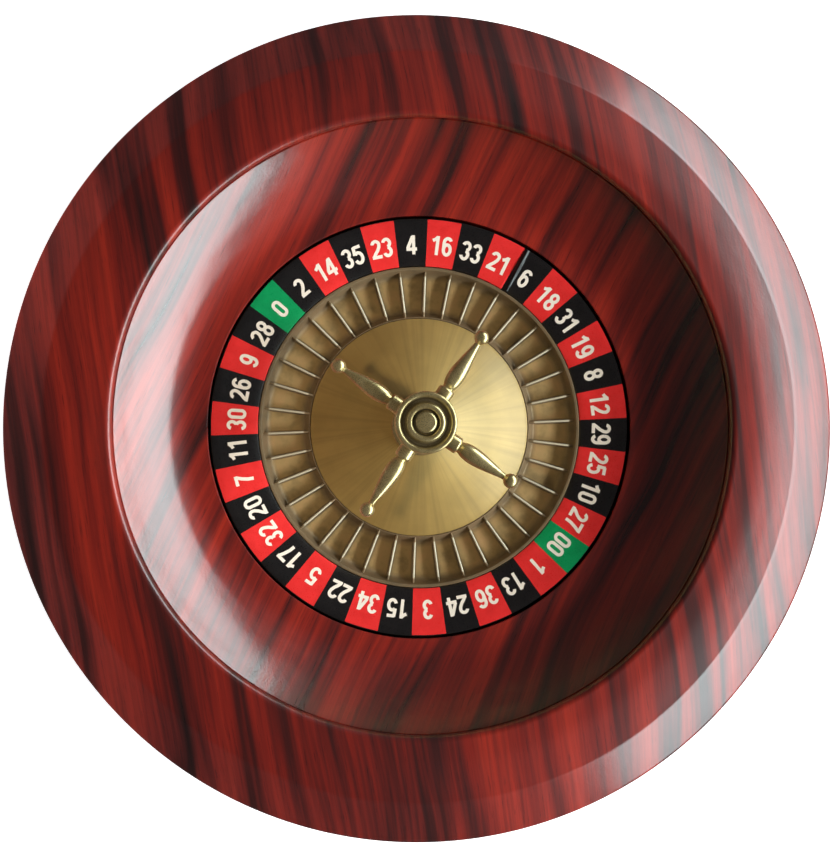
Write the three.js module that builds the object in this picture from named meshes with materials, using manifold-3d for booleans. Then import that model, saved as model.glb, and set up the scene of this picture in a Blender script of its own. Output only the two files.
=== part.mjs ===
// A table-top roulette wheel: a turned wooden bowl on rubber feet, and inside it a wheel head that
// spins on two ball bearings. Millimetres, +Z up, origin on the table under the spindle.
import * as THREE from "three";
import { mergeVertices } from "three/addons/utils/BufferGeometryUtils.js";
import Module from "manifold-3d";

const wasm = await Module();
wasm.setup();

// ---------------------------------------------------------------- driving dimensions
const GAP = 0.3; // assembly clearance between separate pieces
const POCKETS = 38;
const POCKET_ANGLE = (2 * Math.PI) / POCKETS;
const QUARTER = Math.PI / 4;
const ZERO_ANGLE = THREE.MathUtils.degToRad(139.9); // where the pocket of number 0 stands at rest
const ARM_ANGLE = THREE.MathUtils.degToRad(56.3); // where the first turret arm stands at rest

const WOOD_SEGMENTS = 64; // facets round the bowl
const HEAD_SEGMENTS = POCKETS; // facets round the wheel head, one for each pocket
const TURRET_SEGMENTS = 20;
const FINE_SEGMENTS = 16; // facets round the spindle and its bearings
const SMALL_SEGMENTS = 8; // facets round screws and arms

const BOWL_R = 247.5; // a 19.5 inch wheel
const FOOT_H = 6;
const BASE = { r: 222, bottom: FOOT_H + GAP, top: 18 };
const BOWL_BOTTOM = BASE.top + GAP;
const LIP = { r: 180, top: 86, round: 4 }; // the highest ring of the wooden bowl
const SHOULDER = { r: 220.5, z: 76 }; // where the rim's broad top meets its outer bevel
const RIM_EDGE_Z = 50; // lower end of the outer bevel
const TRACK = { r: 185, top: 77 }; // the ball track starts under the lip
const CREASE = { r: 152.5, z: 56 }; // where the ball track meets the lower slope
const OPENING = { r: 127.4, z: 50 }; // the hole that the wheel head turns in

const HEAD = { r: 125.2, bottom: 21, floor: 31 };
const NUMBER_OUTER = { r: 124.6, z: 48.4 };
const NUMBER_INNER = { r: 96.9, z: 42.7 };
const NUMBER_T = 1.5;

const POCKET = { bottom: HEAD.floor + GAP, floor: 35, bore: 62, r: 96.5, top: 42.8 };
const OUTER_WALL = { top: 94.6, foot: 91.6 };
const INNER_WALL = { top: 66.2, foot: 68.8, z: 40.6 };
const FRET = { top: 40.4, topWidth: 1.2, footWidth: 2 };

const CONE = { r: 65.4, edge: 41, topR: 16.6, top: 64, thickness: 1.5 };
const CONE_SEAT = { r: CONE.r + GAP, z: 38.5 };

const SPINDLE = { r: 3.95, lowerR: 6, top: 58 };
const FLANGE = { r: 32, thickness: 4 };
const BEARING = { bore: 4.25, r: 10.75, width: 7, pitch: 7.6, ball: 1.75, balls: 7 };
const LOWER_BEARING_Z = 24;
const UPPER_BEARING_Z = 41;
const HOUSING = { r: 14, bottom: 23, top: 49, bore: BEARING.r + GAP, step: 9 };
const HOUSING_FLANGE = { r: 32, bottom: HEAD.floor + GAP, top: HEAD.floor + GAP + 4 };

const ARM_Z = 103;
const ARM_STUD_R = 3;
const ARM_BALL = { r: 4.3, at: 59.2 };
const BOSS = { r: 14.5, bottom: 94.3, top: 109.7 };
const COLUMN = { skirt: CONE.topR - GAP, bottom: 45, top: BOSS.bottom - GAP };
const CAP = { r: 17.8, bottom: BOSS.top + GAP, top: 122.6 };
const BOLT = { r: 3, button: 6, bottom: 74, top: 124 };

const RIM_SCREW = { head: 4.5, shank: 2.2, length: 30, circle: 205, count: 6 };
const FLANGE_SCREW = { head: 3.6, shank: 1.8, length: 10, circle: 23 };
const FOOT = { r: 14, circle: 178, recessR: 5, recess: 2.6 };
const FOOT_SCREW = { head: 3.6, shank: 1.9, length: 13 };
const HOUSING_SCREW = { head: 3.6, shank: 1.8, length: 9, circle: 24 };
const RING_SCREW = { head: 3.4, shank: 1.6, length: 12.5, circle: 80 };

// ---------------------------------------------------------------- materials
function material(colour, roughness, metalness = 0) {
  return new THREE.MeshStandardMaterial({ color: colour, roughness, metalness });
}
const mahogany = material(0x6b1c18, 0.3);
const blackBoard = material(0x161414, 0.6);
const brass = material(0x8f7a48, 0.35, 0.9);
const darkBrass = material(0x6b5a36, 0.5, 0.8);
const steel = material(0xb4b6ba, 0.3, 1);
const rubber = material(0x141414, 0.9);
const printed = material(0xb8181c, 0.35);

// ---------------------------------------------------------------- shape helpers
const at = (r, z) => new THREE.Vector2(r, z);

// A solid of revolution about Z from [r, z] points listed anticlockwise in the r-z plane.
// The outline closes on itself, or starts and ends on the axis.
function turned(points, segments) {
  const outline = points.map(([r, z]) => at(r, z));
  const onAxis = points[0][0] === 0 && points.at(-1)[0] === 0;
  if (!onAxis) outline.push(outline[0].clone());
  return new THREE.LatheGeometry(outline, segments).rotateX(Math.PI / 2);
}

// Points on an arc in the r-z plane. Angles in degrees, anticlockwise from the +r direction.
function arc(r, z, radius, from, to, steps) {
  return Array.from({ length: steps + 1 }, (_, i) => {
    const a = THREE.MathUtils.degToRad(from + ((to - from) * i) / steps);
    return [r + radius * Math.cos(a), z + radius * Math.sin(a)];
  });
}

// Points on a curve through a few [r, z] points.
function smooth(points, steps) {
  const curve = new THREE.SplineCurve(points.map(([r, z]) => at(r, z)));
  return curve.getPoints(steps).map((p) => [p.x, p.y]);
}

function ring(inner, outer, bottom, top, segments) {
  return turned([[inner, bottom], [outer, bottom], [outer, top], [inner, top]], segments);
}

function rod(r, bottom, top, segments) {
  return turned([[0, bottom], [r, bottom], [r, top], [0, top]], segments);
}

function toSolid(geometry) {
  const bare = geometry.clone();
  bare.deleteAttribute("normal");
  bare.deleteAttribute("uv");
  const merged = mergeVertices(bare, 1e-3);
  return new wasm.Manifold(
    new wasm.Mesh({
      numProp: 3,
      vertProperties: new Float32Array(merged.attributes.position.array),
      triVerts: new Uint32Array(merged.index.array),
    }),
  );
}

function toGeometry(solid) {
  const mesh = solid.getMesh();
  const geometry = new THREE.BufferGeometry();
  geometry.setAttribute("position", new THREE.BufferAttribute(mesh.vertProperties, mesh.numProp));
  geometry.setIndex(new THREE.BufferAttribute(mesh.triVerts, 1));
  geometry.computeVertexNormals();
  return geometry;
}

function joined(first, others) {
  return toGeometry(others.reduce((solid, g) => solid.add(toSolid(g)), toSolid(first)));
}

function cut(body, tools) {
  return toGeometry(tools.reduce((solid, g) => solid.subtract(toSolid(g)), toSolid(body)));
}

// Copies of a geometry at equal angles round Z, on a circle of radius r.
function around(geometry, count, r, startAngle = 0) {
  return Array.from({ length: count }, (_, i) => {
    const angle = startAngle + (2 * Math.PI * i) / count;
    return geometry.clone().translate(r, 0, 0).rotateZ(angle);
  });
}

function add(group, name, geometry, look) {
  const mesh = new THREE.Mesh(geometry, look);
  mesh.name = name;
  group.add(mesh);
}

function addEach(group, name, geometries, look) {
  geometries.forEach((g, i) => add(group, `${name}_${i + 1}`, g, look));
}

// ---------------------------------------------------------------- fasteners
// A countersunk screw pointing up, with its flat head at height z.
function screw({ head, shank, length }, z) {
  const outline = [[0, z], [head, z], [shank, z + head - shank], [shank, z + length], [0, z + length]];
  return turned(outline, SMALL_SEGMENTS);
}

// The hole that such a screw sits in, open below z.
function screwHole({ head, shank, length }, z) {
  const mouth = head + GAP;
  const bore = shank + GAP;
  const end = z + length + GAP;
  const outline = [[0, z - 1], [mouth, z - 1], [mouth, z], [bore, z + head - shank], [bore, end], [0, end]];
  return turned(outline, SMALL_SEGMENTS);
}

// Turns a shape that points up from height z so that it points down from the same height.
function upsideDown(geometry, z) {
  return geometry.rotateX(Math.PI).translate(0, 0, 2 * z);
}

// ---------------------------------------------------------------- bowl (does not move)
function rimHoles() {
  return around(screwHole(RIM_SCREW, BASE.bottom), RIM_SCREW.count, RIM_SCREW.circle);
}

function flangeHoles() {
  return around(screwHole(FLANGE_SCREW, BASE.bottom), 4, FLANGE_SCREW.circle, QUARTER);
}

function outerRim() {
  const bevel = [[BOWL_R, RIM_EDGE_Z], [243.5, 56.5], [232.5, 67.8], [SHOULDER.r, SHOULDER.z]];
  const top = [[208, 80.4], [196, 84], [LIP.r + LIP.round, LIP.top]];
  const outline = [
    [TRACK.r + GAP, BOWL_BOTTOM],
    [BOWL_R - 7, BOWL_BOTTOM],
    [BOWL_R - 1.5, BOWL_BOTTOM + 6],
    [BOWL_R, BOWL_BOTTOM + 14],
    ...bevel,
    ...top,
    ...arc(LIP.r + LIP.round, LIP.top - LIP.round, LIP.round, 60, 180, 3).slice(1),
    [LIP.r, TRACK.top + GAP],
    [TRACK.r + GAP, TRACK.top + GAP],
  ];
  return cut(turned(outline, WOOD_SEGMENTS), rimHoles());
}

function ballTrack() {
  const outline = [
    [OPENING.r, BOWL_BOTTOM],
    [TRACK.r, BOWL_BOTTOM],
    [TRACK.r, TRACK.top],
    [LIP.r - 0.5, TRACK.top],
    [171, 69.2],
    [161, 61.7],
    [CREASE.r, CREASE.z],
    [OPENING.r + 1, OPENING.z],
    [OPENING.r, OPENING.z - 1],
  ];
  return turned(outline, WOOD_SEGMENTS);
}

function baseBoard() {
  const bore = SPINDLE.lowerR + GAP;
  const board = turned(
    [[bore, BASE.bottom], [BASE.r - 2, BASE.bottom], [BASE.r, BASE.bottom + 2], [BASE.r, BASE.top], [bore, BASE.top]],
    WOOD_SEGMENTS,
  );
  const recess = rod(FLANGE.r + GAP, 0, BASE.bottom + FLANGE.thickness + GAP, 24);
  const footHoles = around(screwHole(FOOT_SCREW, FOOT.recess), 4, FOOT.circle, QUARTER);
  return cut(board, [recess, ...rimHoles(), ...flangeHoles(), ...footHoles]);
}

function spindleFlange() {
  const plate = ring(SPINDLE.lowerR + GAP, FLANGE.r, BASE.bottom, BASE.bottom + FLANGE.thickness, 24);
  return cut(plate, flangeHoles());
}

function spindle() {
  const shoulder = LOWER_BEARING_Z - GAP;
  const outline = [
    [0, BASE.bottom],
    [SPINDLE.lowerR, BASE.bottom],
    [SPINDLE.lowerR, shoulder],
    [SPINDLE.r, shoulder],
    [SPINDLE.r, SPINDLE.top - 1],
    [SPINDLE.r - 1, SPINDLE.top],
    [0, SPINDLE.top],
  ];
  return turned(outline, FINE_SEGMENTS);
}

function foot() {
  const bore = FOOT_SCREW.shank + GAP;
  const seat = FOOT_SCREW.head + GAP;
  const outline = [
    [FOOT.recessR, 0],
    [FOOT.r - 1.5, 0],
    [FOOT.r, 1.5],
    [FOOT.r, FOOT_H],
    [bore, FOOT_H],
    [bore, FOOT.recess + seat - bore],
    [seat, FOOT.recess],
    [FOOT.recessR, FOOT.recess],
  ];
  return turned(outline, FINE_SEGMENTS);
}

function bowl() {
  const group = new THREE.Group();
  const rimScrew = screw(RIM_SCREW, BASE.bottom);
  const flangeScrew = screw(FLANGE_SCREW, BASE.bottom);
  const footScrew = screw(FOOT_SCREW, FOOT.recess);
  add(group, "outer_rim", outerRim(), mahogany);
  add(group, "ball_track", ballTrack(), mahogany);
  add(group, "base_board", baseBoard(), blackBoard);
  add(group, "spindle_flange", spindleFlange(), steel);
  add(group, "spindle", spindle(), steel);
  addEach(group, "rim_screw", around(rimScrew, RIM_SCREW.count, RIM_SCREW.circle), steel);
  addEach(group, "flange_screw", around(flangeScrew, 4, FLANGE_SCREW.circle, QUARTER), steel);
  addEach(group, "foot", around(foot(), 4, FOOT.circle, QUARTER), rubber);
  addEach(group, "foot_screw", around(footScrew, 4, FOOT.circle, QUARTER), steel);
  return group;
}

// ---------------------------------------------------------------- bearings
const GROOVE_R = BEARING.ball + GAP;
const GROOVE_HALF = GROOVE_R * Math.sin(QUARTER);

function innerRace(z) {
  const face = BEARING.pitch - GROOVE_HALF;
  const groove = arc(BEARING.pitch, z + BEARING.width / 2, GROOVE_R, 225, 135, 2);
  const top = z + BEARING.width;
  return turned([[BEARING.bore, z], [face, z], ...groove, [face, top], [BEARING.bore, top]], FINE_SEGMENTS);
}

function outerRace(z) {
  const face = BEARING.pitch + GROOVE_HALF;
  const groove = arc(BEARING.pitch, z + BEARING.width / 2, GROOVE_R, 45, -45, 2);
  const top = z + BEARING.width;
  return turned([[face, z], [BEARING.r, z], [BEARING.r, top], [face, top], ...groove], FINE_SEGMENTS);
}

// The balls of one bearing and the thin band that spaces them.
function ballCage(z) {
  const middle = z + BEARING.width / 2;
  const half = { width: 0.7, height: 0.9 };
  const band = ring(
    BEARING.pitch - half.width,
    BEARING.pitch + half.width,
    middle - half.height,
    middle + half.height,
    FINE_SEGMENTS,
  );
  const ball = new THREE.SphereGeometry(BEARING.ball, 6, 5).translate(0, 0, middle);
  return joined(band, around(ball, BEARING.balls, BEARING.pitch));
}

function spindleStack() {
  const group = new THREE.Group();
  const spacerBottom = LOWER_BEARING_Z + BEARING.width + GAP;
  const spacerTop = UPPER_BEARING_Z - GAP;
  const washerBottom = UPPER_BEARING_Z + BEARING.width + GAP;
  const washerTop = washerBottom + 1.4;
  const nutBottom = washerTop + GAP;
  add(group, "lower_inner_race", innerRace(LOWER_BEARING_Z), steel);
  add(group, "upper_inner_race", innerRace(UPPER_BEARING_Z), steel);
  add(group, "bearing_spacer", ring(BEARING.bore, 5.8, spacerBottom, spacerTop, FINE_SEGMENTS), steel);
  add(group, "spindle_washer", ring(BEARING.bore, 7, washerBottom, washerTop, FINE_SEGMENTS), steel);
  const nutBlank = rod(7.5, nutBottom, nutBottom + 6, 6);
  const nutBore = rod(BEARING.bore, nutBottom - 1, nutBottom + 7, FINE_SEGMENTS);
  add(group, "spindle_nut", cut(nutBlank, [nutBore]), steel);
  return group;
}

function cages() {
  const group = new THREE.Group();
  add(group, "lower_ball_cage", ballCage(LOWER_BEARING_Z), steel);
  add(group, "upper_ball_cage", ballCage(UPPER_BEARING_Z), steel);
  return group;
}

// ---------------------------------------------------------------- wheel head (spins)
function housingHoles() {
  const hole = upsideDown(screwHole(HOUSING_SCREW, HOUSING_FLANGE.top), HOUSING_FLANGE.top);
  return around(hole, 4, HOUSING_SCREW.circle, QUARTER);
}

function ringHoles() {
  return around(screwHole(RING_SCREW, HEAD.bottom), 4, RING_SCREW.circle);
}

function headDisc() {
  const bore = HOUSING.r + GAP;
  const below = NUMBER_T + GAP; // the number ring lies in the cone-shaped top
  const outline = [
    [bore, HEAD.bottom],
    [HEAD.r, HEAD.bottom],
    [HEAD.r, NUMBER_OUTER.z - below],
    [NUMBER_OUTER.r, NUMBER_OUTER.z - below],
    [NUMBER_INNER.r, NUMBER_INNER.z - below],
    [NUMBER_INNER.r, HEAD.floor],
    [bore, HEAD.floor],
  ];
  return cut(turned(outline, HEAD_SEGMENTS), [...housingHoles(), ...ringHoles()]);
}

function numberRing() {
  const outline = [
    [NUMBER_INNER.r, NUMBER_INNER.z - NUMBER_T],
    [NUMBER_OUTER.r, NUMBER_OUTER.z - NUMBER_T],
    [NUMBER_OUTER.r, NUMBER_OUTER.z],
    [NUMBER_INNER.r, NUMBER_INNER.z],
  ];
  return turned(outline, HEAD_SEGMENTS);
}

// One fret: a tapered wall along +X that runs into the pocket ring's inner and outer walls.
function fret() {
  const foot = POCKET.floor - 0.5;
  const section = new THREE.Shape([
    at(-FRET.footWidth / 2, foot),
    at(FRET.footWidth / 2, foot),
    at(FRET.topWidth / 2, FRET.top),
    at(-FRET.topWidth / 2, FRET.top),
  ]);
  const inset = 0.4;
  const length = OUTER_WALL.top - INNER_WALL.top + 2 * inset;
  const wall = new THREE.ExtrudeGeometry(section, { depth: length, bevelEnabled: false });
  return wall.rotateX(Math.PI / 2).rotateZ(Math.PI / 2).translate(-inset, 0, 0);
}

function pocketRing() {
  const outline = [
    [POCKET.bore, POCKET.bottom],
    [POCKET.r, POCKET.bottom],
    [POCKET.r, POCKET.top],
    [OUTER_WALL.top, POCKET.top - 0.5],
    [OUTER_WALL.foot, POCKET.floor],
    [INNER_WALL.foot, POCKET.floor],
    [INNER_WALL.top, INNER_WALL.z],
    [CONE_SEAT.r, INNER_WALL.z],
    [CONE_SEAT.r, CONE_SEAT.z],
    [POCKET.bore, CONE_SEAT.z],
  ];
  const frets = around(fret(), POCKETS, INNER_WALL.top, POCKET_ANGLE / 2);
  return cut(joined(turned(outline, HEAD_SEGMENTS), frets), ringHoles());
}

function cone() {
  const rise = [[CONE.r, CONE.edge], [50, 48.6], [33, 56.6], [CONE.topR + 0.8, CONE.top]];
  const under = rise.slice(1).map(([r, z]) => [r, z - CONE.thickness]);
  const foot = CONE_SEAT.z + GAP;
  const outline = [
    [CONE.r - CONE.thickness, foot],
    [CONE.r, foot],
    ...rise,
    [CONE.topR, CONE.top],
    [CONE.topR, CONE.top - CONE.thickness],
    ...under.slice(0, -1).reverse(),
    [CONE.r - CONE.thickness, CONE.edge - CONE.thickness / 2],
  ];
  return turned(outline, HEAD_SEGMENTS);
}

function bearingHousing() {
  const stepBottom = LOWER_BEARING_Z + BEARING.width + GAP;
  const stepTop = UPPER_BEARING_Z - GAP;
  const outline = [
    [HOUSING.bore, HOUSING.bottom],
    [HOUSING.r, HOUSING.bottom],
    [HOUSING.r, HOUSING_FLANGE.bottom],
    [HOUSING_FLANGE.r, HOUSING_FLANGE.bottom],
    [HOUSING_FLANGE.r, HOUSING_FLANGE.top],
    [HOUSING.r, HOUSING_FLANGE.top],
    [HOUSING.r, HOUSING.top],
    [HOUSING.bore, HOUSING.top],
    [HOUSING.bore, stepTop],
    [HOUSING.step, stepTop],
    [HOUSING.step, stepBottom],
    [HOUSING.bore, stepBottom],
  ];
  return cut(turned(outline, FINE_SEGMENTS), housingHoles());
}

function wheelHead() {
  const group = new THREE.Group();
  group.rotation.z = ZERO_ANGLE;
  const housingScrew = upsideDown(screw(HOUSING_SCREW, HOUSING_FLANGE.top), HOUSING_FLANGE.top);
  const ringScrew = screw(RING_SCREW, HEAD.bottom);
  add(group, "head_disc", headDisc(), blackBoard);
  add(group, "number_ring", numberRing(), printed);
  add(group, "pocket_ring", pocketRing(), darkBrass);
  add(group, "cone", cone(), brass);
  add(group, "bearing_housing", bearingHousing(), steel);
  add(group, "lower_outer_race", outerRace(LOWER_BEARING_Z), steel);
  add(group, "upper_outer_race", outerRace(UPPER_BEARING_Z), steel);
  addEach(group, "housing_screw", around(housingScrew, 4, HOUSING_SCREW.circle, QUARTER), steel);
  addEach(group, "ring_screw", around(ringScrew, 4, RING_SCREW.circle), steel);
  return group;
}

// ---------------------------------------------------------------- turret (spins with the head)
function turretColumn() {
  const socket = HOUSING.r + 0.5;
  const roof = HOUSING.top + GAP;
  const nutRoom = 8.4;
  const flare = CONE.topR + 1;
  const body = turned(
    [
      [socket, COLUMN.bottom],
      [COLUMN.skirt, COLUMN.bottom],
      [COLUMN.skirt, CONE.top + GAP],
      [flare, CONE.top + GAP],
      [flare, CONE.top + 2],
      [14.5, 67.4],
      [10, 71],
      [8.3, 76.5],
      ...arc(7.8, 79.4, 2.2, -50, 50, 2),
      [7.4, 83],
      [7, 86.5],
      [8.6, 90.5],
      [11.8, COLUMN.top - 1],
      [11.8, COLUMN.top],
      [0, COLUMN.top],
      [0, SPINDLE.top + 2],
      [nutRoom, SPINDLE.top + 2],
      [nutRoom, roof],
      [socket, roof],
      [socket, COLUMN.bottom],
    ],
    TURRET_SEGMENTS,
  );
  return cut(body, [rod(BOLT.r + GAP, BOLT.bottom - GAP, COLUMN.top + 1, SMALL_SEGMENTS)]);
}

function turretBoss() {
  const bore = BOLT.r + GAP;
  const outline = [
    [bore, BOSS.bottom],
    [11.8, BOSS.bottom],
    [BOSS.r, BOSS.bottom + 3],
    [BOSS.r, BOSS.top - 3],
    [12.6, BOSS.top],
    [bore, BOSS.top],
  ];
  const hole = rod(ARM_STUD_R + GAP, 0, BOSS.r, SMALL_SEGMENTS).rotateY(Math.PI / 2);
  const holes = around(hole.translate(0, 0, ARM_Z), 4, 8);
  return cut(turned(outline, TURRET_SEGMENTS), holes);
}

function turretCap() {
  const bore = BOLT.r + GAP;
  const well = 7;
  const outline = [
    [bore, CAP.bottom],
    [16.2, CAP.bottom],
    [CAP.r, CAP.bottom + 2],
    [CAP.r, CAP.top - 3.2],
    [17, CAP.top - 1.7],
    [15.6, CAP.top - 1.2],
    [14.3, CAP.top - 1.8],
    [12.8, CAP.top - 3.8],
    [11.3, CAP.top - 2],
    [9.6, CAP.top],
    [8, CAP.top - 0.4],
    [well, CAP.top - 1.6],
    [well, CAP.top - 5],
    [bore, CAP.top - 5],
  ];
  return turned(outline, TURRET_SEGMENTS);
}

function turretBolt() {
  const shoulder = CAP.top - 5 + GAP;
  const outline = [
    [0, BOLT.bottom],
    [BOLT.r, BOLT.bottom],
    [BOLT.r, shoulder],
    [BOLT.button, shoulder],
    [BOLT.button, BOLT.top - 1.2],
    [BOLT.button - 1, BOLT.top - 0.2],
    [0, BOLT.top],
  ];
  return turned(outline, SMALL_SEGMENTS * 2);
}

// One arm, turned in one piece: threaded stud, collar, baluster and ball, lying along +X.
function turretArm() {
  const collarR = 5;
  const start = BOSS.r + GAP;
  const neck = { r: 1.8, x: 54.6 };
  const ball = arc(0, ARM_BALL.at, ARM_BALL.r, -65, 90, 5).slice(0, -1);
  const outline = [
    [0, 8.5],
    [ARM_STUD_R, 8.5],
    [ARM_STUD_R, start],
    [collarR, start],
    [collarR, 23.4],
    [3.4, 24.3],
    [4.4, 27.4],
    [5.1, 32.5],
    [4.4, 40],
    [2.7, 49],
    [neck.r, neck.x],
    ...ball,
    [0, ARM_BALL.at + ARM_BALL.r],
  ];
  return turned(outline, SMALL_SEGMENTS).rotateY(Math.PI / 2).translate(0, 0, ARM_Z);
}

function turret() {
  const group = new THREE.Group();
  group.rotation.z = ARM_ANGLE;
  add(group, "turret_column", turretColumn(), brass);
  add(group, "turret_boss", turretBoss(), brass);
  add(group, "turret_cap", turretCap(), brass);
  add(group, "turret_bolt", turretBolt(), brass);
  addEach(group, "turret_arm", around(turretArm(), 4, 0), brass);
  return group;
}

const rouletteWheel = new THREE.Group();
rouletteWheel.add(bowl(), spindleStack(), cages(), wheelHead(), turret());
export default rouletteWheel;
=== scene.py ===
# The looks of the roulette wheel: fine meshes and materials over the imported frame, in metres.
import math

import bmesh
import bpy
from mathutils import Matrix, Vector


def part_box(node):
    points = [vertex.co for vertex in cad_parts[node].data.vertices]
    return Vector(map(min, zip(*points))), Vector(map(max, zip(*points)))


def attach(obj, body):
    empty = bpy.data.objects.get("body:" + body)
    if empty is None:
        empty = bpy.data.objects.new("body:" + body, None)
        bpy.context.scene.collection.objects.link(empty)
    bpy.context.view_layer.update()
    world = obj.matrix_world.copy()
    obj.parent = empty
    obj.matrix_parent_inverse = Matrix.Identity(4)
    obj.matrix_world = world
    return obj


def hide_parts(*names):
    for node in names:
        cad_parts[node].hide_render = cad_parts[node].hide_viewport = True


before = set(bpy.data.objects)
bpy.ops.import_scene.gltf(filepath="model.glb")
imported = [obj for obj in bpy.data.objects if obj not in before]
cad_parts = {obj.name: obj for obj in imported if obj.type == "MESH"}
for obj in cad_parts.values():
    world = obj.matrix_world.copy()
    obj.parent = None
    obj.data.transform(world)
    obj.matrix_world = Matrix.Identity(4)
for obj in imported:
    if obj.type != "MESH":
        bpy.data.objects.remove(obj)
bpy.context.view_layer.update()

MM = 0.001
TAU = 2 * math.pi
POCKETS = 38
STEP = TAU / POCKETS
ZERO_ANGLE = math.radians(139.9)  # where the field of number 0 stands at rest
ARM_ANGLE = math.radians(56.3)  # where the first turret arm stands at rest
LARGE = POCKETS * 8  # segments round the bowl and the wheel head
MEDIUM = 96  # segments round the turret and the spindle
SMALL = 32  # segments round arms and screws
ON_AXIS = 1e-6  # a radius in mm under this counts as being on the axis

# Numbers clockwise from 0, as they stand on a double-zero wheel.
NUMBERS = (
    "0 2 14 35 23 4 16 33 21 6 18 31 19 8 12 29 25 10 27 "
    "00 1 13 36 24 3 15 34 22 5 17 32 20 7 11 30 26 9 28"
).split()


# ---------------------------------------------------------------- shapes
def span(node):
    """Inner radius, outer radius, bottom and top in mm of a CAD node that is round about Z."""
    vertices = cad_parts[node].data.vertices
    radii = [math.hypot(v.co.x, v.co.y) for v in vertices]
    heights = [v.co.z for v in vertices]
    return tuple(value / MM for value in (min(radii), max(radii), min(heights), max(heights)))


def oval(x, y, width, height, start=0, end=360, steps=28):
    """Points on an oval about (x, y) with the given half sizes, angles in degrees anticlockwise."""
    angles = [math.radians(start + (end - start) * i / steps) for i in range(steps + 1)]
    return [(x + width * math.cos(a), y + height * math.sin(a)) for a in angles]


def arc(centre, radius, start, end, steps):
    """Points on an arc, angles in degrees anticlockwise."""
    return oval(*centre, radius, radius, start, end, steps)


def spline(points, steps=6):
    """A smooth curve through the points, with a few steps between each pair."""
    ends = [points[0], *points, points[-1]]
    curve = []
    for p0, p1, p2, p3 in zip(ends, ends[1:], ends[2:], ends[3:]):
        for i in range(steps):
            t = i / steps
            curve.append(tuple(catmull(a, b, c, d, t) for a, b, c, d in zip(p0, p1, p2, p3)))
    return [*curve, points[-1]]


def catmull(a, b, c, d, t):
    """One coordinate on a Catmull-Rom curve between b and c."""
    square = 2 * a - 5 * b + 4 * c - d
    cube = 3 * b - a - 3 * c + d
    return 0.5 * (2 * b + (c - a) * t + square * t**2 + cube * t**3)


def eased(corners, closed=True, steps=4):
    """An outline from corners (r, z) or (r, z, radius), with each given radius as a small round.

    A round takes no more than about half of the shorter side next to it.
    """
    outline = []
    count = len(corners)
    for i, corner in enumerate(corners):
        here = Vector(corner[:2])
        at_end = not closed and i in (0, count - 1)
        if len(corner) < 3 or at_end:
            outline.append(tuple(here))
            continue
        before = Vector(corners[i - 1][:2]) - here
        after = Vector(corners[(i + 1) % count][:2]) - here
        half = before.angle(after) / 2
        back = min(corner[2] / math.tan(half), 0.48 * before.length, 0.48 * after.length)
        start = here + before.normalized() * back
        end = here + after.normalized() * back
        for k in range(steps + 1):
            t = k / steps
            outline.append(tuple((1 - t) ** 2 * start + 2 * t * (1 - t) * here + t**2 * end))
    return outline


def around(r, angle, z):
    """A point in metres, from a radius and height in mm."""
    return (r * MM * math.cos(angle), r * MM * math.sin(angle), z * MM)


def turned(bm, outline, segments):
    """Adds a solid of revolution about Z. An outline in mm that meets the axis closes there."""
    rings = []
    for r, z in outline:
        if r < ON_AXIS:
            rings.append([bm.verts.new((0, 0, z * MM))] * segments)
            continue
        rings.append([bm.verts.new(around(r, TAU * k / segments, z)) for k in range(segments)])
    pairs = list(zip(rings, rings[1:]))
    if outline[0][0] >= ON_AXIS:
        pairs.append((rings[-1], rings[0]))
    for low, high in pairs:
        for k in range(segments):
            n = (k + 1) % segments
            corners = [low[k], low[n], high[n], high[k]]
            bm.faces.new(list(dict.fromkeys(corners)))


def placed(bm, verts, matrix):
    bmesh.ops.transform(bm, matrix=matrix, verts=verts)


def finished_mesh(name, bm):
    mesh = bpy.data.meshes.new(name)
    bm.to_mesh(mesh)
    bm.free()
    return mesh


def new_object(name, data):
    obj = bpy.data.objects.new(name, data)
    bpy.context.scene.collection.objects.link(obj)
    return obj


def piece(name, bm, body, look, replaces=(), sharp=32):
    """Turns mesh code into a finished piece that rides on a body and stands for CAD nodes.

    Edges that turn by more than sharp degrees stay sharp.
    """
    bmesh.ops.recalc_face_normals(bm, faces=bm.faces)
    for face in bm.faces:
        face.smooth = True
    for edge in bm.edges:
        edge.smooth = edge.calc_face_angle(0) < math.radians(sharp)
    mesh = finished_mesh(name, bm)
    looks = look if isinstance(look, list) else [look]
    for material in looks:
        mesh.materials.append(material)
    obj = new_object(name, mesh)
    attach(obj, body)
    if replaces:
        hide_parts(*replaces)


def turned_piece(name, outline, segments, body, look, replaces=(), sharp=32):
    bm = bmesh.new()
    turned(bm, outline, segments)
    piece(name, bm, body, look, replaces, sharp)


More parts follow.
